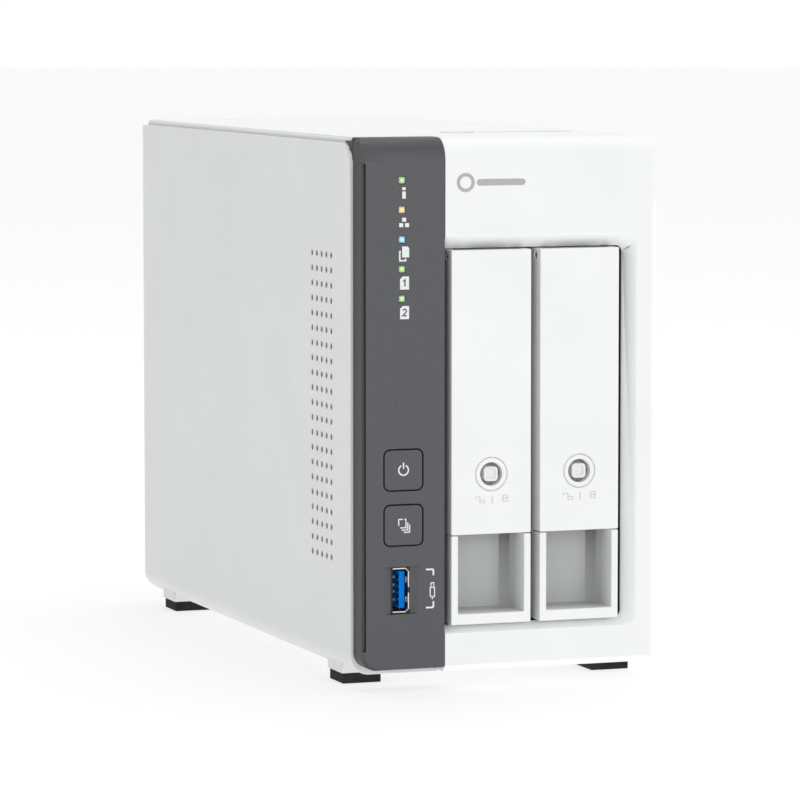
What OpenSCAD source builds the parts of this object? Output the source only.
// Two-bay desktop network attached storage, millimetres, +Z up, front faces -Y.
// The origin is the centre of the footprint, on the surface that the feet stand on.
// Modules are written in a corner frame: x from the left side, y from the front, z from the floor.

/* [Case] */
// Overall width
case_w = 98; // [97.6:0.1:99]
// Overall depth
case_d = 225.8; // [225:0.1:228]
// Overall height with the feet
case_h = 167.7; // [167:0.1:169]
// Wall thickness of the mouldings
wall = 2.2; // [2:0.1:2.4]
// Radius of the long edges of the case
edge_r = 6; // [5:0.5:7]
// Radius of the edge between the right side and the top, and between the front and the right side
right_r = 3.5; // [3:0.1:4]
// Radius of the roll from the front to the top
brow_r = 7; // [6:0.5:8]
// Distance from the left side to the seam between cover and shell
seam_x = 27.6; // [27.4:0.1:27.8]
// Depth of the front bezel
bezel_d = 8; // [7.5:0.5:8]
// Depth of the dark strip where it folds over the top
panel_top_d = 12.2; // [11:0.1:13]

/* [Feet] */
// Side of a square rubber foot
foot_w = 12.5; // [11:0.5:13]
// Height of a rubber foot
foot_h = 3.3; // [3:0.1:3.6]
// Gap between the floor and the moulded underside
belly_z = 4.3; // [4.1:0.1:4.6]

/* [Vents] */
// Diameter of a vent hole
vent_dia = 2; // [1.6:0.1:2.4]
// Number of vent holes in a row
vent_cols = 5; // [3:1:6]
// Number of rows of vent holes
vent_rows = 21; // [11:1:21]
// Distance between the columns of vent holes
vent_pitch = 4.5; // [4.4:0.1:4.6]
// Distance between the rows of vent holes
vent_rise = 4.64; // [4.5:0.02:4.7]

/* [Trays] */
// Width of a tray face
tray_w = 25.9; // [25.7:0.1:26]
// Distance between the trays
tray_pitch = 28.86; // [28.8:0.02:28.9]
// Left edge of the first tray
tray_x = 29.8; // [29.7:0.1:30]
// Height of a tray face
tray_h = 114.25; // [114:0.05:114.5]
// Height of the pocket frame under the handle
pocket_h = 27.4; // [26:0.2:29]
// Bottom of the trays
tray_z = 19.3; // [19.2:0.1:19.5]

/* [Buttons] */
// Side of a square button
button_w = 12.2; // [11.5:0.1:12.6]
// Gap round a button
button_gap = 0.3; // [0.25:0.05:0.4]

/* [Fan] */
// Side of the square fan frame
fan_w = 70; // [69.5:0.5:70]
// Number of fan blades
blade_count = 7; // [5:1:9]

/* [Hidden] */

fine = 64;
eps = 0.05;
gap = 0.15;
bead = 0.3;

white = [0.95, 0.95, 0.95];
dark = [0.33, 0.33, 0.35];
black = [0.08, 0.08, 0.08];
steel = [0.7, 0.7, 0.72];
board_green = [0.05, 0.3, 0.16];
gold = [0.85, 0.65, 0.2];

// side cover
plate_top_z = case_h - 1.8;
groove_x = 1.2;
groove_w = 0.8;
groove_d = 1.7;
strip_chamfer = 0.8;
cover_front_r = 7;
cover_rear_r = 6;
vent_y = 25.5;
vent_z = 131.3;

// control panel
panel_x = 0.9;
panel_bottom_z = 6.5;
panel_foot_r = 4.8;
panel_ease_x = 1.1;
panel_ease_z = 0.65;
panel_ease_d = 0.6;
slot_x = 1.1;
slot_w = 1.15;
slot_d = 1.2;
slot_z0 = 12.5;
slot_z1 = 160;
light_x = 13.8;
light_w = 2;
light_pitch = 8.93;
light_count = 5;
light_top_z = 155;
button_x = 14.3;
power_z = 67.4;
copy_z = 50.6;
button_r = 1.8;
usb_x = 13.7;
usb_z = 30.7;
usb_w = 5.8;
usb_h = 13.8;
usb_face_y = 1.3;
usb_len = 15;

// front bezel
bezel_z = 5;
bezel_foot = 2.1;
frame_d = 5;
frame_lip = 0.6;
frame_out = [[0, 16.8], [90.4, 137.8]];
frame_in_x = 87.4;
frame_in_z0 = 18.9;
frame_in_z1 = 133.85;
frame_out_r = 3.3;
frame_in_r = 2;

// cage and trays
cage_x0 = seam_x + bead;
cage_x1 = 88.6;
cage_z0 = 17.4;
cage_z1 = 135.4;
cage_y0 = 5.8;
cage_y1 = 175;
sheet = 1;
tray_wall = 2;
pocket_wall = 2.2;
pocket_bar = 3.3;
pocket_d = 15.2;
pocket_r = 2.5;
tray_front_y = 15.5;
tray_top_z = tray_z + tray_h;
tray_seam_z = tray_z + pocket_h;
tray_end_y = 166;
rail_h = 5;
rail_inset = 0.3;
handle_d = 6.7;
handle_wall = 2;
pin_y = 4.2;
pin_z = tray_top_z - 2.15;
pin_r = 1;
pin_clear = 0.05;
lug_r = 1.9;
lug_w = 3;
lug_inset = 4;
knuckle_r = 2.5;

// lock
lock_z = 65.2;
lock_r = 3.52;
lock_ring_r = 5.1;
lock_clear = 0.05;
lock_key = 4.5;
lock_pad = 2.7;
lock_recess = 3;

// drive, 3.5-inch class
drive_t = 26.1;
drive_l = 147;
drive_h = 101.6;
drive_y = 19;
drive_z = tray_z + (tray_h - drive_h) / 2;
drive_hole_y = [28.5, 70.1, 130.1];
drive_hole_x = 6.35;
drive_hole_r = 1.65;
peg_r = 1.4;
socket_z = drive_z + 22;
socket_h = 44;

// boards
board_x = 21;
board_t = 1.6;
board_y0 = 24;
board_y1 = 219;
board_z0 = 12;
board_z1 = 158;
standoff_y = [36, 104, 168];
standoff_z = [24, 128];
front_board_y = 12.5;
backplane_y = 176;

// rear
rear_y = 221.8;
rear_t = 2;
rear_in = 0.25;
jack_x = 7.3;
jack_w = 16;
jack_t = 13.5;
jack_z = [62, 84];
usb_rear_z = 32;
dc_z = 18;
dc_x = 15.5;
reset_z = 112;
reset_x = 13;
lock_slot_x = 90;
lock_slot_z = 30;
fan_x = 59;
fan_z = 96;
fan_t = 15;
fan_y = rear_y - fan_t - 0.2;
fan_bore_r = 33.5;
fan_hole = 30;
fan_hole_r = 2.15;
blade_r = 32.3;
hub_r = 13;
shaft_r = 1.5;
post_r = 3;
post_hole_r = 1.25;
cage_post_y = [40, 150];
cage_post_x = 92;
cover_screw_x = 7;
cover_screw_z = [14, 156];
panel_screw_at = [[91, 12.5], [91, 158], [40, 158]];

// ---------- helpers ----------

module from_corner() {
  translate([-case_w / 2, -case_d / 2, 0]) children();
}

// outline drawn as x, z and pushed back along y
module along_y(y, d) {
  translate([0, y + d, 0]) rotate([90, 0, 0]) linear_extrude(d) children();
}

// outline drawn as y, z and pushed along x
module along_x(x, w) {
  translate([x, 0, 0]) rotate([90, 0, 90]) linear_extrude(w) children();
}

module pole_y(x, z, y, d, r) {
  translate([x, y + d, z]) rotate([90, 0, 0]) cylinder(h = d, r = r, $fn = fine);
}

module pole_x(y, z, x, w, r) {
  translate([x, y, z]) rotate([0, 90, 0]) cylinder(h = w, r = r, $fn = fine);
}

module pole_z(x, y, z, h, r) {
  translate([x, y, z]) cylinder(h = h, r = r, $fn = fine);
}

module block(x, y, z, w, d, h) {
  translate([x, y, z]) cube([w, d, h]);
}

// what an arc takes off the lower left corner of a square
module corner_bite(r, over = 1) {
  difference() {
    translate([-over, -over]) square(r + over);
    translate([r, r]) circle(r, $fn = fine);
  }
}

// rectangle with a radius of its own at each corner: bottom left, bottom right, top left, top right
module corner_rect(w, h, bl = 0, br = 0, tl = 0, tr = 0) {
  difference() {
    square([w, h]);
    if (bl > 0) corner_bite(bl);
    if (br > 0) translate([w, 0]) mirror([1, 0]) corner_bite(br);
    if (tl > 0) translate([0, h]) mirror([0, 1]) corner_bite(tl);
    if (tr > 0) translate([w, h]) mirror([1, 0]) mirror([0, 1]) corner_bite(tr);
  }
}

module round_rect(w, h, r) {
  corner_rect(w, h, r, r, r, r);
}

// screw along y with its head towards the rear
module rear_screw(x, z, y_head, shank_r, shank_l, head_r, head_h) {
  difference() {
    union() {
      pole_y(x, z, y_head - shank_l, shank_l + eps, shank_r);
      pole_y(x, z, y_head, head_h, head_r);
    }
    block(x - head_r * 0.6, y_head + head_h - 0.6, z - 0.35, head_r * 1.2, 1, 0.7);
    block(x - 0.35, y_head + head_h - 0.6, z - head_r * 0.6, 0.7, 1, head_r * 1.2);
  }
}

module foot_blocks(xs) {
  for (x = xs, y = [19.7, 194.4])
    block(x - 0.5, y - 0.5, foot_h, foot_w + 1, foot_w + 1, belly_z - foot_h + 3);
}

foot_xs = [1.6, 83.9];

// ---------- outer mouldings ----------

module cover_section() {
  difference() {
    translate([0, belly_z]) corner_rect(seam_x - gap, case_h - belly_z, bl = edge_r);
    difference() {
      translate([wall, belly_z + wall])
        corner_rect(seam_x, case_h - belly_z - 2 * wall, bl = edge_r - wall);
      polygon([[0, case_h], [0, case_h - wall - 5], [wall, case_h - wall - 5],
        [wall + 5, case_h - wall], [wall + 5, case_h]]);
    }
    translate([-1, plate_top_z]) square([1 + groove_x + eps, 3]);
    translate([groove_x, plate_top_z - groove_d]) square([groove_w, 5]);
    polygon([[groove_x + groove_w - 1, case_h - strip_chamfer - 1], [groove_x + groove_w - 1, case_h + 1],
      [groove_x + groove_w + strip_chamfer + 1, case_h + 1]]);
  }
}

module vent_grid() {
  for (i = [0:vent_cols - 1], j = [0:vent_rows - 1])
    pole_x(vent_y + i * vent_pitch, vent_z - j * vent_rise, -1, wall + 2, vent_dia / 2);
}

module left_cover() {
  color(white) from_corner() {
    difference() {
      union() {
        difference() {
          along_y(bezel_d, case_d - bezel_d) cover_section();
          // room for the dark strip where it folds over the top
          block(wall, -1, case_h - wall - 6, seam_x, panel_top_d + 1 + gap, wall + 8);
          block(groove_x, -1, plate_top_z - groove_d - 1, 3, panel_top_d + 1 + gap, 8);
          // round corners of the side as seen from the left
          along_x(-1, wall + 1) translate([bezel_d, plate_top_z]) mirror([0, 1])
            corner_bite(cover_front_r, eps);
          along_x(-1, seam_x + 2) translate([case_d, belly_z]) mirror([1, 0]) corner_bite(cover_rear_r);
        }
        foot_blocks([foot_xs[0]]);
        // hooks that catch the cage when the cover slides on
        for (y = [50, 120, 190]) {
          block(wall - eps, y, 150, 5, 8, 1.8);
          block(wall - eps, y, 9, 5, 8, 1.8);
        }
        for (z = cover_screw_z) block(wall - eps, rear_y - 12, z - 5, 8, 12 - gap, 10);
      }
      vent_grid();
      for (z = cover_screw_z) pole_y(cover_screw_x, z, rear_y - 13, 14, post_hole_r);
    }
  }
}

module shell_section() {
  w = case_w - seam_x - gap;
  h = case_h - belly_z;
  difference() {
    translate([seam_x + gap, belly_z]) corner_rect(w, h, br = edge_r, tr = right_r);
    translate([seam_x - 1, belly_z + wall])
      corner_rect(w + 1 + gap - wall, h - 2 * wall, br = edge_r - wall, tr = right_r - wall);
  }
}

module main_shell() {
  color(white) from_corner() {
    difference() {
      union() {
        difference() {
          along_y(bezel_d + gap, case_d - bezel_d - gap) shell_section();
          along_x(seam_x, case_w) translate([case_d, belly_z]) mirror([1, 0]) corner_bite(cover_rear_r);
        }
        foot_blocks([foot_xs[1]]);
        for (y = cage_post_y) {
          pole_z(cage_post_x, y, belly_z + 1, cage_z0 - belly_z - 1 - sheet, post_r);
          pole_z(cage_post_x, y, cage_z1 + sheet, case_h - cage_z1 - sheet - 1, post_r);
        }
        for (p = panel_screw_at) block(p[0] - 4, rear_y - 12, p[1] - 4, 8, 12 - gap, 8);
        block(87, rear_y - 12, belly_z + 1, 8, 12 - gap, 8);
        block(87, rear_y - 12, case_h - 9, 8, 12 - gap, 8);
        block(36, rear_y - 12, case_h - 9, 8, 12 - gap, 8);
        // stiffening ribs on the right side
        for (y = [70, 110, 190]) block(case_w - wall - 2, y, 20, 2 + eps, 1.6, 118);
      }
      for (y = cage_post_y) {
        pole_z(cage_post_x, y, cage_z0 - sheet - 8, 9, post_hole_r);
        pole_z(cage_post_x, y, cage_z1, 9, post_hole_r);
      }
      for (p = panel_screw_at) pole_y(p[0], p[1], rear_y - 13, 14, post_hole_r);
    }
  }
}

// side view of the bezel: rolls over at the top, cut back along its foot
module bezel_profile() {
  difference() {
    translate([0, bezel_z]) corner_rect(bezel_d, case_h - bezel_z, tl = brow_r);
    polygon([[-1, bezel_z - 1], [-1, bezel_z + bezel_foot + 1], [bezel_foot + 1, bezel_z - 1]]);
  }
}

module front_bezel() {
  w = case_w - seam_x;
  color(white) from_corner() difference() {
    intersection() {
      along_y(0, bezel_d) translate([seam_x + gap, bezel_z])
        corner_rect(w - gap, case_h - bezel_z, br = edge_r - 1, tr = right_r);
      along_x(seam_x, w) bezel_profile();
      translate([seam_x, 0, 0]) linear_extrude(case_h) corner_rect(w, 3 * bezel_d, br = right_r);
    }
    // sloped frame round the drive opening
    hull() {
      along_y(-1, 1) translate([seam_x - 20, frame_out[0][1]])
        corner_rect(frame_out[1][0] - seam_x + 20, frame_out[1][1] - frame_out[0][1],
          br = frame_out_r, tr = frame_out_r, $fn = 32);
      along_y(frame_d, eps) translate([seam_x - 20, frame_in_z0])
        corner_rect(frame_in_x - seam_x + 20, frame_in_z1 - frame_in_z0,
          br = frame_in_r, tr = frame_in_r, $fn = 32);
    }
    along_y(frame_d - 1, bezel_d) translate([seam_x - 20, frame_in_z0])
      corner_rect(frame_in_x - seam_x + 20, frame_in_z1 - frame_in_z0, br = frame_in_r, tr = frame_in_r);
    // recess for the mouth of the cage, behind a thin lip
    block(seam_x - 1, frame_d + frame_lip, cage_z0 - gap, cage_x1 - seam_x + 1 + gap, bezel_d,
      cage_z1 - cage_z0 + 2 * gap);
    // hollow back
    block(seam_x + gap + wall, brow_r, frame_out[1][1] + wall, w - 2 * wall - edge_r, bezel_d,
      case_h - frame_out[1][1] - 2 * wall);
    block(seam_x + gap + wall, wall + 1, frame_out[1][1] + wall, w - 2 * wall - edge_r, bezel_d,
      case_h - frame_out[1][1] - 2 * wall - brow_r);
    block(seam_x + gap + wall, wall + 1, bezel_z + wall, w - 2 * wall - edge_r, bezel_d,
      frame_out[0][1] - bezel_z - 2 * wall);
    block(frame_out[1][0] + wall, wall + 1, 20, case_w - frame_out[1][0] - 2 * wall, bezel_d, 128);
  }
}

module button_hole(z) {
  s = button_w + 2 * button_gap;
  along_y(-1, 6) translate([button_x - s / 2, z - s / 2]) round_rect(s, s, button_r + button_gap);
}

module control_panel() {
  w = seam_x - panel_x;
  color(dark) from_corner() difference() {
    intersection() {
      union() {
        // the front is cut back along the left side and the foot
        hull() {
          along_y(0, eps) translate([panel_x + panel_ease_x, panel_bottom_z + panel_ease_z])
            corner_rect(w - panel_ease_x, case_h - panel_bottom_z - panel_ease_z,
              bl = panel_foot_r - panel_ease_z, $fn = 32);
          along_y(panel_ease_d, bezel_d + 2 - panel_ease_d) translate([panel_x, panel_bottom_z])
            corner_rect(w, case_h - panel_bottom_z, bl = panel_foot_r, $fn = 32);
        }
        block(groove_x + groove_w, bezel_d, case_h - 5, seam_x - groove_x - groove_w,
          panel_top_d - bezel_d, 5);
      }
      along_x(0, seam_x) corner_rect(panel_top_d, case_h, tl = brow_r);
      along_y(-1, 20) polygon([[panel_x, 0], [seam_x, 0], [seam_x, case_h], [panel_x + 1.6, case_h],
        [panel_x, case_h - 1.6]]);
    }
    // hollow back
    along_y(wall, 30) translate([panel_x + wall, panel_bottom_z + wall])
      corner_rect(w - 2 * wall, case_h - panel_bottom_z - wall - brow_r, bl = panel_foot_r - wall, br = 0);
    block(panel_x + wall, brow_r, case_h - 10, w - 2 * wall, 20, 10 - wall);
    // step that the side cover's lip and top edge sit in
    block(-1, bezel_d - gap, 0, 1 + wall + gap, 20, plate_top_z - groove_d - 1 + gap);
    block(-1, bezel_d - gap, case_h - 6, 1 + groove_x + groove_w, 20, 8);
    block(-1, bezel_d - gap, 0, seam_x + 2, 20, belly_z + wall + gap);
    along_y(bezel_d - gap, 20) difference() {
      square(belly_z + edge_r);
      translate([wall + gap, belly_z + wall + gap]) corner_rect(seam_x, case_h, bl = edge_r - wall);
    }
    // shadow slot down the left edge
    block(slot_x, -1, slot_z0, slot_w, 1 + slot_d, slot_z1 - slot_z0);
    for (i = [0:light_count - 1])
      block(light_x - light_w / 2 - 0.1, -1, light_top_z - i * light_pitch - light_w / 2 - 0.1,
        light_w + 0.2, 6, light_w + 0.2);
    button_hole(power_z);
    button_hole(copy_z);
    // shallow scoop and mouth of the front socket
    translate([0, 0, usb_z - usb_h / 2 - 0.3]) linear_extrude(usb_h + 0.6)
      polygon([[usb_x - 5.6, -eps], [usb_x + 5.6, -eps], [usb_x + 3.1, usb_face_y], [usb_x - 3.1, usb_face_y]]);
    block(usb_x - usb_w / 2 - 0.1, -1, usb_z - usb_h / 2 - 0.1, usb_w + 0.2, 8, usb_h + 0.2);
  }
}

module grille_rings() {
  for (r = [10:5:30]) difference() {
    pole_y(fan_x, fan_z, rear_y - 1, rear_t + 2, r + 2.6);
    pole_y(fan_x, fan_z, rear_y - 2, rear_t + 4, r);
    for (a = [0:45:135]) translate([fan_x, 0, fan_z]) rotate([0, a, 0])
      block(-40, rear_y - 2, -1.1, 80, rear_t + 4, 2.2);
  }
}

module rear_panel() {
  z0 = belly_z + wall + rear_in;
  color(white) from_corner() difference() {
    along_y(rear_y, rear_t) translate([wall + rear_in, z0])
      round_rect(case_w - 2 * (wall + rear_in), case_h - wall - rear_in - z0, edge_r - wall);
    // the top left corner steps round the inside of the side cover's groove
    block(0, rear_y - 1, case_h - wall - 5.5, wall + 5.5, rear_t + 2, 8);
    // the feet of the mouldings round the lower rear edge need the panel's lower edge raised
    block(0, rear_y - 1, 0, case_w, rear_t + 2, belly_z + edge_r);
    grille_rings();
    for (x = [-fan_hole, fan_hole], z = [-fan_hole, fan_hole])
      pole_y(fan_x + x, fan_z + z, rear_y - 1, rear_t + 2, fan_hole_r);
    for (z = cover_screw_z) pole_y(cover_screw_x, z, rear_y - 1, rear_t + 2, 1.7);
    for (p = panel_screw_at) pole_y(p[0], p[1], rear_y - 1, rear_t + 2, 1.7);
    for (z = jack_z)
      block(jack_x - 0.3, rear_y - 1, z - jack_w / 2 - 0.3, jack_t + 0.6, rear_t + 2, jack_w + 0.6);
    block(board_x - 15.9, rear_y - 1, usb_rear_z - 7.6, 16.2, rear_t + 2, 15.2);
    pole_y(dc_x, dc_z, rear_y - 1, rear_t + 2, 5);
    pole_y(reset_x, reset_z, rear_y - 1, rear_t + 2, 1.3);
    along_y(rear_y - 1, rear_t + 2) translate([lock_slot_x - 1.5, lock_slot_z - 3.5]) round_rect(3, 7, 1);
    // slots above and below the fan
    for (x = [30:5:80]) {
      along_y(rear_y - 1, rear_t + 2) translate([x, 138]) round_rect(2.4, 12, 1.2);
      along_y(rear_y - 1, rear_t + 2) translate([x, 38]) round_rect(2.4, 12, 1.2);
    }
  }
}

module rubber_feet() {
  color(black) from_corner()
    for (x = foot_xs, y = [19.7, 194.4])
      translate([x, y, 0]) linear_extrude(foot_h) round_rect(foot_w, foot_w - 0.1, 0.5);
}

// ---------- controls ----------

module button(z) {
  color(dark) from_corner() {
    along_y(0, 2.6) translate([button_x - button_w / 2, z - button_w / 2])
      round_rect(button_w, button_w, button_r);
    along_y(2.5, 1) translate([button_x - button_w / 2 - 1, z - button_w / 2 - 1])
      round_rect(button_w + 2, button_w + 2, button_r + 1);
    pole_y(button_x, z, 3.4, 5, 1.5);
  }
}

module power_button() {
  button(power_z);
}

module copy_button() {
  button(copy_z);
}

module reset_button() {
  color(black) from_corner() {
    pole_y(reset_x, reset_z, rear_y - 3.4, 4.4, 1);
    pole_y(reset_x, reset_z, rear_y - 3.4, 1, 1.6);
  }
}

module light_guide() {
  color([0.85, 0.9, 0.9]) from_corner() {
    for (i = [0:light_count - 1])
      block(light_x - light_w / 2, 0.05, light_top_z - i * light_pitch - light_w / 2, light_w, 11, light_w);
    block(light_x - 1, 4, light_top_z - (light_count - 1) * light_pitch, 2, 1.6,
      (light_count - 1) * light_pitch);
    for (z = [light_top_z + 3, light_top_z - 40]) block(light_x - 3.5, 4, z - 2, 7, 1.6, 4);
    block(light_x - 1, 4, light_top_z, 2, 1.6, 3);
    block(light_x - 1, 4, light_top_z - 40, 2, 1.6, 4);
  }
}

module front_board() {
  color(board_green) from_corner() difference() {
    block(6, front_board_y, 16, 14, board_t, 146);
    for (z = [19, 90, 158]) pole_y(9, z, front_board_y - 1, 4, 1.3);
    // the socket stands in a window of the board
    block(usb_x - usb_w / 2 - 0.1, front_board_y - 1, usb_z - usb_h / 2 - 0.1, usb_w + 0.2, 4, usb_h + 0.2);
  }
}

module status_diodes() {
  color([0.95, 0.95, 0.85]) from_corner()
    for (i = [0:light_count - 1])
      block(light_x - 1.2, front_board_y - 0.8, light_top_z - i * light_pitch - 1, 2.4, 0.8, 2);
}

module button_switches() {
  color(black) from_corner() for (z = [power_z, copy_z]) {
    block(button_x - 3, front_board_y - 2.2, z - 3, 6, 2.2, 6);
    pole_y(button_x, z, front_board_y - 2.9, 0.8, 1.5);
  }
}

// flat cable from the front board to a header on the main board
module front_cable() {
  color([0.85, 0.85, 0.88]) from_corner() {
    block(10, front_board_y + board_t, 138, 9.5, 3, 16);
    block(18.4, front_board_y + board_t + 2.9, 140, 0.4, 17, 12);
    block(18.1, 33.9, 138, 2.9, 5, 16);
  }
}

module usb_front_shell() {
  t = 0.35;
  color(steel) from_corner() difference() {
    union() {
      along_y(usb_face_y, usb_len) translate([usb_x - usb_w / 2, usb_z - usb_h / 2])
        round_rect(usb_w, usb_h, 0.6);
      // tabs soldered to the front board
      for (z = [-4, 4])
        block(usb_x - usb_w / 2 - 1.8, front_board_y - t, usb_z + z - 1, usb_w + 3.6, t, 2);
    }
    along_y(usb_face_y - 1, usb_len) translate([usb_x - usb_w / 2 + t, usb_z - usb_h / 2 + t])
      round_rect(usb_w - 2 * t, usb_h - 2 * t, 0.4);
    // spring tongues
    for (z = [-3, 3], x = [-usb_w, usb_w] / 2)
      block(usb_x + x - 1, usb_face_y + 4, usb_z + z - 1, 2, 5, 2);
  }
}

module usb_front_tongue() {
  color([0.05, 0.35, 0.85]) from_corner() {
    block(usb_x - 0.1, usb_face_y + 1, usb_z - 5.6, 1.8, 11, 11.2);
    block(usb_x - usb_w / 2 + 0.55, usb_face_y + 10.5, usb_z - usb_h / 2 + 0.55, usb_w - 1.1, 3, usb_h - 1.1);
  }
}

module usb_front_contacts() {
  color(gold) from_corner() {
    for (z = [-3.5, -1, 1, 3.5]) block(usb_x - 0.3, usb_face_y + 2.2, usb_z + z - 0.5, 0.2, 7.8, 1);
    for (z = [-4, -2, 0, 2, 4]) block(usb_x - 0.22, usb_face_y + 1.1, usb_z + z - 0.3, 0.12, 0.9, 0.6);
  }
}

// ---------- drive cage ----------

module drive_cage() {
  w = cage_x1 - cage_x0;
  h = cage_z1 - cage_z0;
  color(dark) from_corner() difference() {
    union() {
      block(cage_x0, cage_y0, cage_z0, w, cage_y1 - cage_y0, h);
      for (y = cage_post_y, z = [cage_z0, cage_z1 - sheet])
        block(cage_x1 - eps, y - 5, z, cage_post_x - cage_x1 + 3.2, 10, sheet);
    }
    block(cage_x0 + sheet, cage_y0 - 1, cage_z0 + sheet, w - 2 * sheet, cage_y1 - cage_y0 + 2, h - 2 * sheet);
    // air slots
    for (y = [30, 80, 130], x = [cage_x0, cage_x1]) along_x(x - 2, 4) translate([y, 44]) round_rect(20, 64, 4);
    for (y = standoff_y, z = standoff_z) pole_x(y, z, cage_x0 - 1, 3, 1.3);
    for (y = cage_post_y, z = [cage_z0 - 2, cage_z1 - 2]) pole_z(cage_post_x, y, z, 4, 1.7);
  }
}

module guide_rails() {
  top_z = cage_z1 - sheet;
  low_z = cage_z0 + sheet;
  len = 158;
  color(black) from_corner() {
    for (i = [0, 1]) {
      x = tray_x + i * tray_pitch;
      block(x + 0.5, 14, low_z, tray_w - 1, len, tray_z - rail_inset - low_z);
    }
    block(cage_x0 + sheet, 14, low_z, tray_x - 0.3 - cage_x0 - sheet, len, 6);
    block(cage_x0 + sheet, 14, top_z - 6, tray_x - 0.3 - cage_x0 - sheet, len, 6);
    for (z = [low_z, top_z - 6]) {
      block(tray_x + tray_w + bead, 14, z, tray_pitch - tray_w - 2 * bead, len, 6);
      block(tray_x + tray_w + tray_pitch + bead, 14, z,
        cage_x1 - sheet - tray_x - tray_w - tray_pitch - bead, len, 6);
    }
    // the floor strips and the low ribs are one moulding
    block(cage_x0 + sheet, 14, low_z, cage_x1 - cage_x0 - 2 * sheet, 4, 0.5);
    block(cage_x0 + sheet, 168, low_z, cage_x1 - cage_x0 - 2 * sheet, 4, 0.5);
  }
}

module small_screw(head_r, head_h, shank_r, shank_l) {
  difference() {
    union() {
      translate([0, 0, -shank_l]) cylinder(h = shank_l + eps, r = shank_r, $fn = fine);
      cylinder(h = head_h, r = head_r, $fn = fine);
    }
    translate([-head_r * 0.6, -0.3, head_h - 0.6]) cube([head_r * 1.2, 0.6, 1]);
    translate([-0.3, -head_r * 0.6, head_h - 0.6]) cube([0.6, head_r * 1.2, 1]);
  }
}

module cage_screws() {
  color(steel) from_corner() for (y = cage_post_y) {
    translate([cage_post_x, y, cage_z0 + sheet]) small_screw(2.8, 1.8, post_hole_r, 7);
    translate([cage_post_x, y, cage_z1 - sheet]) mirror([0, 0, 1]) small_screw(2.8, 1.8, post_hole_r, 7);
  }
}

module backplane() {
  color(board_green) from_corner() difference() {
    block(board_x + board_t + 1, backplane_y, 34, 86 - board_x - board_t, board_t, 84);
    for (x = [33, 57, 82], z = [38, 114]) pole_y(x, z, backplane_y - 1, 4, 1.6);
    // air passes between the two drive sockets
    block(52, backplane_y - 1, 84, 10, 4, 22);
  }
}

module drive_sockets() {
  color(black) from_corner() for (i = [0, 1]) {
    x = tray_x - 0.1 + i * tray_pitch;
    difference() {
      block(x + 2.6, drive_y + drive_l - 2.5, socket_z - 1,
        6, backplane_y - drive_y - drive_l + 2.5, socket_h + 2);
      // slit that takes the drive's tongue
      block(x + 4.4, drive_y + drive_l - 4, socket_z + 1.5, 2.4, 7.5, socket_h - 3);
    }
  }
}

module backplane_slot() {
  color(black) from_corner() difference() {
    block(board_x + board_t, cage_y1 + bead, 50, 6, backplane_y + 4.5 - cage_y1 - bead, 60);
    block(board_x + board_t + 1, backplane_y, 49, 6, board_t, 62);
  }
}

// ---------- main board ----------

module main_board() {
  color(board_green) from_corner() difference() {
    block(board_x, board_y0, board_z0, board_t, board_y1 - board_y0, board_z1 - board_z0);
    for (y = standoff_y, z = standoff_z) pole_x(y, z, board_x - 1, 4, 1.6);
    // the front lower corner is cut away beside the socket
    block(board_x - 1, board_y0 - 1, board_z0 - 1, 4, 14, 30);
  }
}

module board_standoffs() {
  l = cage_x0 - board_x - board_t;
  color(gold) from_corner() for (y = standoff_y, z = standoff_z)
    translate([board_x + board_t, y, z]) rotate([0, 90, 0]) difference() {
      cylinder(h = l, r = 2.9, $fn = 6);
      translate([0, 0, -1]) cylinder(h = l + 2, r = 1.25, $fn = fine);
    }
}

module board_screws() {
  color(steel) from_corner() for (y = standoff_y, z = standoff_z)
    translate([board_x, y, z]) rotate([0, -90, 0]) small_screw(2.7, 1.8, 1.2, 5);
}

module processor() {
  color(black) from_corner() {
    block(board_x - 0.8, 78, 86, 0.8, 21, 21);
    block(board_x - 1.6, 82, 90, 0.8, 13, 13);
  }
}

module heat_sink() {
  color(steel) from_corner() {
    block(board_x - 3.6, 64, 70, 2, 48, 54);
    for (i = [0:11]) block(board_x - 13.6, 64 + i * 4.25, 70, 10 + eps, 1.25, 54);
  }
}

module memory_chips() {
  color(black) from_corner() for (z = [44, 58]) block(board_x - 1.2, 82, z, 1.2, 14, 9.5);
}

module cell_holder() {
  color(black) from_corner() difference() {
    pole_x(142, 112, board_x - 4.4, 4.4, 12);
    pole_x(142, 112, board_x - 5, 4.2, 10.2);
    block(board_x - 5, 138, 118, 3.6, 8, 10);
  }
}

module coin_cell() {
  color(steel) from_corner() pole_x(142, 112, board_x - 4, 3.2, 10);
}

module board_headers() {
  color(white) from_corner() {
    // fan header
    difference() {
      block(board_x - 6, 196, 124, 6, 8, 10);
      block(board_x - 7, 197, 125, 5, 6, 8);
      block(board_x - 7, 198.5, 132, 4.5, 3, 3);
    }
    // service header
    block(board_x - 6, 40, 60, 6, 5, 22);
  }
}

module buzzer() {
  color(black) from_corner() difference() {
    pole_x(120, 46, board_x - 6, 6, 6);
    pole_x(120, 46, board_x - 7, 2, 1);
  }
}

module network_jacks() {
  color(steel) from_corner() for (z = jack_z) difference() {
    block(jack_x, rear_y - 19, z - jack_w / 2, jack_t + 0.2, 21.2, jack_w);
    block(jack_x + 2.4, rear_y - 12, z - 5.9, 7, 20, 11.8);
    block(jack_x + 1.1, rear_y - 12, z - 3.2, 2, 20, 6.4);
  }
}

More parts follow.
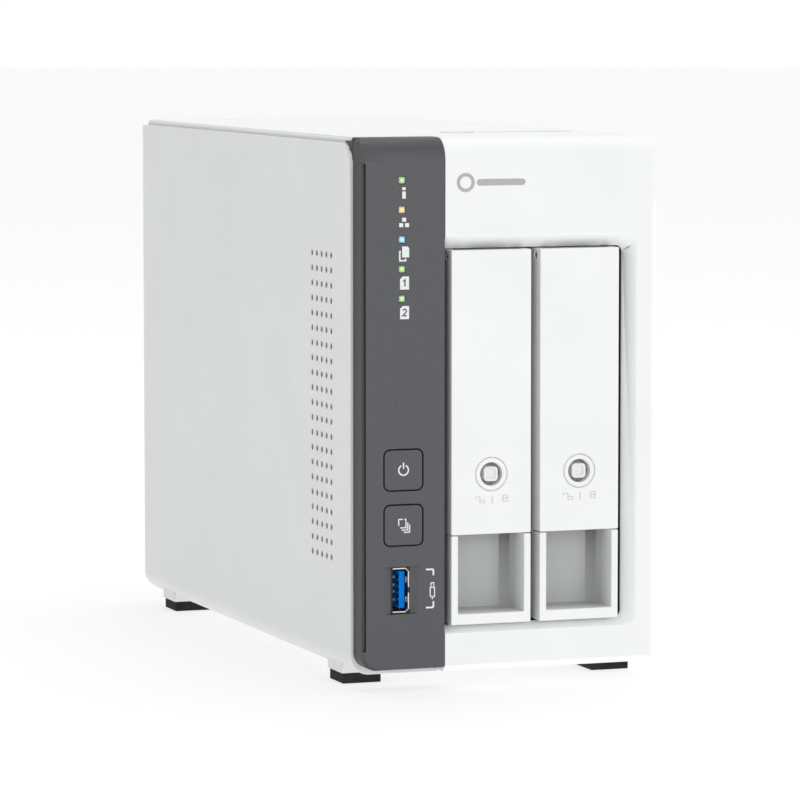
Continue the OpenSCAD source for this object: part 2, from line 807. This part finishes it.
module usb_rear_ports() {
  color(steel) from_corner() difference() {
    block(board_x - 15.6, rear_y - 15, usb_rear_z - 7.3, 15.6, 17.2, 14.6);
    for (x = [board_x - 14.6, board_x - 6.9]) difference() {
      block(x, rear_y - 10, usb_rear_z - 6.3, 5.2, 20, 12.6);
      block(x + 2.9, rear_y - 11, usb_rear_z - 5.6, 1.7, 12, 11.2);
    }
  }
}

module dc_inlet() {
  color(black) from_corner() {
    difference() {
      union() {
        block(dc_x - 4.5, rear_y - 12, dc_z - 5.4, board_x - dc_x + 4.5, 12 - gap, 10.8);
        pole_y(dc_x, dc_z, rear_y - 1, rear_t + 1, 4.6);
      }
      pole_y(dc_x, dc_z, rear_y - 8, 12, 2.85);
    }
    pole_y(dc_x, dc_z, rear_y - 9, 9.5, 1.25);
  }
}

module reset_switch() {
  color(black) from_corner() {
    block(reset_x - 3, rear_y - 9, reset_z - 3, board_x - reset_x + 3, 3.6, 6);
    pole_y(reset_x, reset_z, rear_y - 5.5, 0.8, 1.5);
  }
}

module lock_plate() {
  color(steel) from_corner() difference() {
    block(lock_slot_x - 4.5, rear_y - 1, lock_slot_z - 8, 9, 1 - gap, 16);
    along_y(rear_y - 2, 3) translate([lock_slot_x - 1.6, lock_slot_z - 3.6]) round_rect(3.2, 7.2, 1);
  }
}

// ---------- fan ----------

module fan_frame() {
  color(black) from_corner() {
    difference() {
      along_y(fan_y, fan_t) translate([fan_x - fan_w / 2, fan_z - fan_w / 2]) round_rect(fan_w, fan_w, 4);
      pole_y(fan_x, fan_z, fan_y - 1, fan_t + 2, fan_bore_r);
      for (x = [-fan_hole, fan_hole], z = [-fan_hole, fan_hole])
        pole_y(fan_x + x, fan_z + z, fan_y - 1, fan_t + 2, 1.9);
      // waist between the two flanges at the corners
      for (x = [-1, 1], z = [-1, 1])
        pole_y(fan_x + x * fan_w / 2, fan_z + z * fan_w / 2, fan_y + 4, fan_t - 8, 8.5);
    }
    // struts and motor seat on the rear side
    difference() {
      union() {
        pole_y(fan_x, fan_z, fan_y + fan_t - 2, 2, 12);
        for (a = [0, 90, 200]) translate([fan_x, 0, fan_z]) rotate([0, a, 0])
          block(0, fan_y + fan_t - 2, -1.5, fan_bore_r + 0.4, 2, 3);
        pole_y(fan_x, fan_z, fan_y + 6, fan_t - 7, 3);
      }
      pole_y(fan_x, fan_z, fan_y + 4, fan_t - 5, shaft_r + 0.05);
    }
  }
}

module fan_rotor() {
  color(dark) from_corner() {
    difference() {
      pole_y(fan_x, fan_z, fan_y + 1, 11, hub_r);
      pole_y(fan_x, fan_z, fan_y + 2.2, 12, hub_r - 1.2);
    }
    pole_y(fan_x, fan_z, fan_y + 2.1, 10, shaft_r);
    intersection() {
      difference() {
        pole_y(fan_x, fan_z, fan_y + 1, 11.4, blade_r);
        pole_y(fan_x, fan_z, fan_y, 20, hub_r - 0.5);
      }
      for (i = [0:blade_count - 1]) translate([fan_x, fan_y + 6.6, fan_z]) rotate([0, i * 360 / blade_count, 0])
        rotate([38, 0, 0]) translate([8, -9, -0.7]) cube([28, 18, 1.4]);
    }
  }
}

module fan_screws() {
  color(black) from_corner()
    for (x = [-fan_hole, fan_hole], z = [-fan_hole, fan_hole])
      rear_screw(fan_x + x, fan_z + z, rear_y + rear_t, 1.85, 10, 3.6, 1.5);
}

// up from the fan's corner, over the edge of the board and down to the plug in the header
fan_cable_r = 1.2;
fan_cable_top = case_h - 1.7 - wall - fan_cable_r;
module fan_cable() {
  x0 = 17;
  x1 = 26.5;
  y = 200;
  color(black) from_corner() {
    pole_z(x1, y, 150, fan_cable_top - 150 - 4, fan_cable_r);
    pole_z(x0, y, 131, fan_cable_top - 131 - 4, fan_cable_r);
    for (s = [0, 1]) translate([s == 0 ? x0 + 4 : x1 - 4, y, fan_cable_top - 4])
      rotate([90, s == 0 ? -90 : 0, 0]) rotate_extrude(angle = 90, $fn = fine) translate([4, 0])
        circle(fan_cable_r, $fn = 24);
    pole_x(y, fan_cable_top, x0 + 4, x1 - x0 - 8, fan_cable_r);
    block(15.2, 197.4, 125.4, 3.6, 5.2, 7.2);
  }
}

module cover_screws() {
  color(steel) from_corner() for (z = cover_screw_z)
    rear_screw(cover_screw_x, z, rear_y + rear_t, post_hole_r, 10, 2.8, 1.6);
}

module panel_screws() {
  color(steel) from_corner() for (p = panel_screw_at)
    rear_screw(p[0], p[1], rear_y + rear_t, post_hole_r, 10, 2.8, 1.6);
}

// ---------- trays ----------

module at_tray(i) {
  from_corner() translate([tray_x + (i - 1) * tray_pitch, 0, 0]) children();
}

peg_x = drive_hole_x - 0.1;

module tray_frame(i) {
  color(white) at_tray(i) {
    difference() {
      union() {
        block(0, 0, tray_z, tray_w, tray_front_y + tray_wall, pocket_h - gap);
        block(0, handle_d + 0.2, tray_seam_z - 1, tray_w, tray_front_y + tray_wall - handle_d - 0.2,
          tray_top_z - tray_seam_z + 1);
        for (z = [tray_z + rail_inset, tray_top_z - rail_inset - rail_h])
          block(0.2, tray_front_y, z, tray_w - 0.4, tray_end_y - tray_front_y, rail_h);
      }
      // finger pocket, which opens upwards behind the handle
      intersection() {
        along_y(-1, 1 + pocket_d) translate([pocket_wall, tray_z + pocket_bar])
          corner_rect(tray_w - 2 * pocket_wall, 60, bl = 0.4, br = 0.4);
        translate([pocket_wall, -2, tray_z]) linear_extrude(tray_h)
          corner_rect(tray_w - 2 * pocket_wall, pocket_d + 2, tl = pocket_r, tr = pocket_r);
      }
      // room behind the handle
      block(tray_wall, handle_d, tray_seam_z, tray_w - 2 * tray_wall, tray_front_y - handle_d,
        tray_top_z - tray_seam_z - 2);
      // channels and holes for the fastening strips
      for (z = [tray_z + rail_inset - 1, tray_top_z - rail_inset - 2.1])
        block(peg_x - 4.1, 30, z, 8.2, 126, 3.1);
      for (y = drive_hole_y) pole_z(peg_x, drive_y + drive_l - y, tray_z, tray_h, drive_hole_r);
    }
    // hinge lugs
    difference() {
      for (x = [lug_inset, tray_w - lug_inset - lug_w]) {
        block(x, pin_y, pin_z - lug_r, lug_w, tray_front_y - pin_y + eps, 2 * lug_r);
        pole_x(pin_y, pin_z, x, lug_w, lug_r);
      }
      pole_x(pin_y, pin_z, -1, tray_w + 2, pin_r);
    }
  }
}

module tray_hinge_pin(i) {
  color(steel) at_tray(i) pole_x(pin_y, pin_z, 0.3, tray_w - 0.6, pin_r);
}

module handle_side() {
  z0 = tray_seam_z + gap;
  difference() {
    union() {
      translate([0, z0]) square([pin_y, tray_top_z - z0]);
      translate([0, z0]) square([handle_d, pin_z - z0]);
      intersection() {
        translate([pin_y, pin_z]) circle(knuckle_r, $fn = fine);
        square([20, tray_top_z]);
      }
    }
    translate([pin_y, pin_z]) circle(pin_r + pin_clear, $fn = fine);
  }
}

module tray_handle(i) {
  z0 = tray_seam_z + gap;
  mid = tray_w / 2;
  color(white) at_tray(i) difference() {
    union() {
      block(0, 0, z0, tray_w, handle_wall, tray_top_z - z0);
      for (x = [0, tray_w - tray_wall]) along_x(x, tray_wall) handle_side();
      block(tray_wall, 1, z0, tray_w - 2 * tray_wall, 4, 2);
      pole_y(mid, lock_z, 1, 5.2, lock_ring_r);
    }
    pole_y(mid, lock_z, -1, 9, lock_r + lock_clear);
    // fine ring round the lock
    difference() {
      pole_y(mid, lock_z, -1, 1.5, lock_ring_r + 0.11);
      pole_y(mid, lock_z, -2, 4, lock_ring_r - 0.11);
    }
  }
}

module tray_lock(i) {
  mid = tray_w / 2;
  color(white) at_tray(i) {
    pole_y(mid, lock_z, lock_recess, 7 - lock_recess, lock_r);
    pole_y(mid, lock_z, 6.4, 1.2, lock_r + 0.8);
    difference() {
      along_y(0.3, lock_recess) translate([mid - lock_key / 2, lock_z - lock_key / 2])
        round_rect(lock_key, lock_key, 1.2);
      block(mid - lock_pad / 2, 0, lock_z - lock_pad / 2, lock_pad, 0.8, lock_pad);
    }
    // cam that catches the frame
    along_y(7.5, 1.4) translate([mid - 2, lock_z - 2]) round_rect(4, 10.5, 1.5);
  }
}

module tray_clips(i) {
  color(dark) at_tray(i) {
    block(peg_x - 4, 30.2, tray_z + rail_inset, 8, 125.6, 2);
    block(peg_x - 4, 30.2, tray_top_z - rail_inset - 2, 8, 125.6, 2);
    for (y = drive_hole_y) {
      pole_z(peg_x, drive_y + drive_l - y, tray_z + rail_inset + 1, 8, peg_r);
      pole_z(peg_x, drive_y + drive_l - y, tray_top_z - rail_inset - 9, 8, peg_r);
    }
  }
}

module drive_case(i) {
  x0 = -0.1;
  t = drive_t - 0.8;
  color(steel) at_tray(i) difference() {
    along_x(x0, t) translate([drive_y, drive_z]) round_rect(drive_l, drive_h, 2.5);
    // recess for the circuit board and the plug
    block(x0 - 1, drive_y + 52, drive_z + 8, 3.6, drive_l - 60, drive_h - 16);
    block(x0 - 1, drive_y + drive_l - 9, socket_z - 2, 10.8, 10, socket_h + 4);
    block(x0 - 1, drive_y + drive_l - 14, drive_z + 8, 3.6, 8, drive_h - 16);
    for (y = drive_hole_y) {
      pole_z(peg_x, drive_y + drive_l - y, drive_z - 1, 7, drive_hole_r);
      pole_z(peg_x, drive_y + drive_l - y, drive_z + drive_h - 6, 7, drive_hole_r);
    }
    // recess for the lid, and under it the chamber of the platters and the arm
    along_x(x0 + t - 1, 2) translate([drive_y + 3, drive_z + 3]) round_rect(drive_l - 6, drive_h - 6, 6);
    pole_x(drive_y + 56, drive_z + drive_h / 2, x0 + 9, t, 47);
    block(x0 + 9, drive_y + 92, drive_z + 10, t, 28, drive_h - 20);
  }
}

module drive_lid(i) {
  x0 = drive_t - 1.9;
  color(steel) at_tray(i) difference() {
    union() {
      along_x(x0, 1.2) translate([drive_y + 3.2, drive_z + 3.2]) round_rect(drive_l - 6.4, drive_h - 6.4, 5.8);
      pole_x(drive_y + 56, drive_z + drive_h / 2, x0 + 1, 0.7, 40);
    }
    pole_x(drive_y + 56, drive_z + drive_h / 2, x0 + 1.2, 2, 5);
    for (y = [9, drive_l - 9], z = [9, drive_h - 9]) pole_x(drive_y + y, drive_z + z, x0 + 0.5, 3, 1.8);
  }
}

module drive_board(i) {
  color(board_green) at_tray(i) {
    block(0.9, drive_y + 54, drive_z + 10, 1.5, drive_l - 64, drive_h - 20);
    block(1.6, drive_y + drive_l - 16, socket_z + 2, 0.8, 8, socket_h - 4);
    // plug body and its tongue
    block(1.4, drive_y + drive_l - 8.8, socket_z - 1.6, 8, 3.4, socket_h + 3.2);
    block(4.7, drive_y + drive_l - 6, socket_z + 2, 1.6, 5, socket_h - 4);
    block(0.4, drive_y + 84, drive_z + 36, 0.6, 18, 18);
  }
}

module tray_1_frame() { tray_frame(1); }
module tray_2_frame() { tray_frame(2); }
module tray_1_handle() { tray_handle(1); }
module tray_2_handle() { tray_handle(2); }
module tray_1_hinge_pin() { tray_hinge_pin(1); }
module tray_2_hinge_pin() { tray_hinge_pin(2); }
module tray_1_lock() { tray_lock(1); }
module tray_2_lock() { tray_lock(2); }
module tray_1_clips() { tray_clips(1); }
module tray_2_clips() { tray_clips(2); }
module drive_1_case() { drive_case(1); }
module drive_2_case() { drive_case(2); }
module drive_1_lid() { drive_lid(1); }
module drive_2_lid() { drive_lid(2); }
module drive_1_board() { drive_board(1); }
module drive_2_board() { drive_board(2); }

left_cover();
main_shell();
front_bezel();
control_panel();
rear_panel();
rubber_feet();
power_button();
copy_button();
reset_button();
light_guide();
front_board();
status_diodes();
button_switches();
front_cable();
usb_front_shell();
usb_front_tongue();
usb_front_contacts();
drive_cage();
guide_rails();
cage_screws();
backplane();
drive_sockets();
backplane_slot();
main_board();
board_standoffs();
board_screws();
processor();
heat_sink();
memory_chips();
coin_cell();
cell_holder();
board_headers();
buzzer();
network_jacks();
usb_rear_ports();
dc_inlet();
reset_switch();
lock_plate();
fan_frame();
fan_rotor();
fan_screws();
fan_cable();
cover_screws();
panel_screws();
tray_1_frame();
tray_1_handle();
tray_1_hinge_pin();
tray_1_lock();
tray_1_clips();
tray_2_frame();
tray_2_handle();
tray_2_hinge_pin();
tray_2_lock();
tray_2_clips();
drive_1_case();
drive_1_lid();
drive_1_board();
drive_2_case();
drive_2_lid();
drive_2_board();
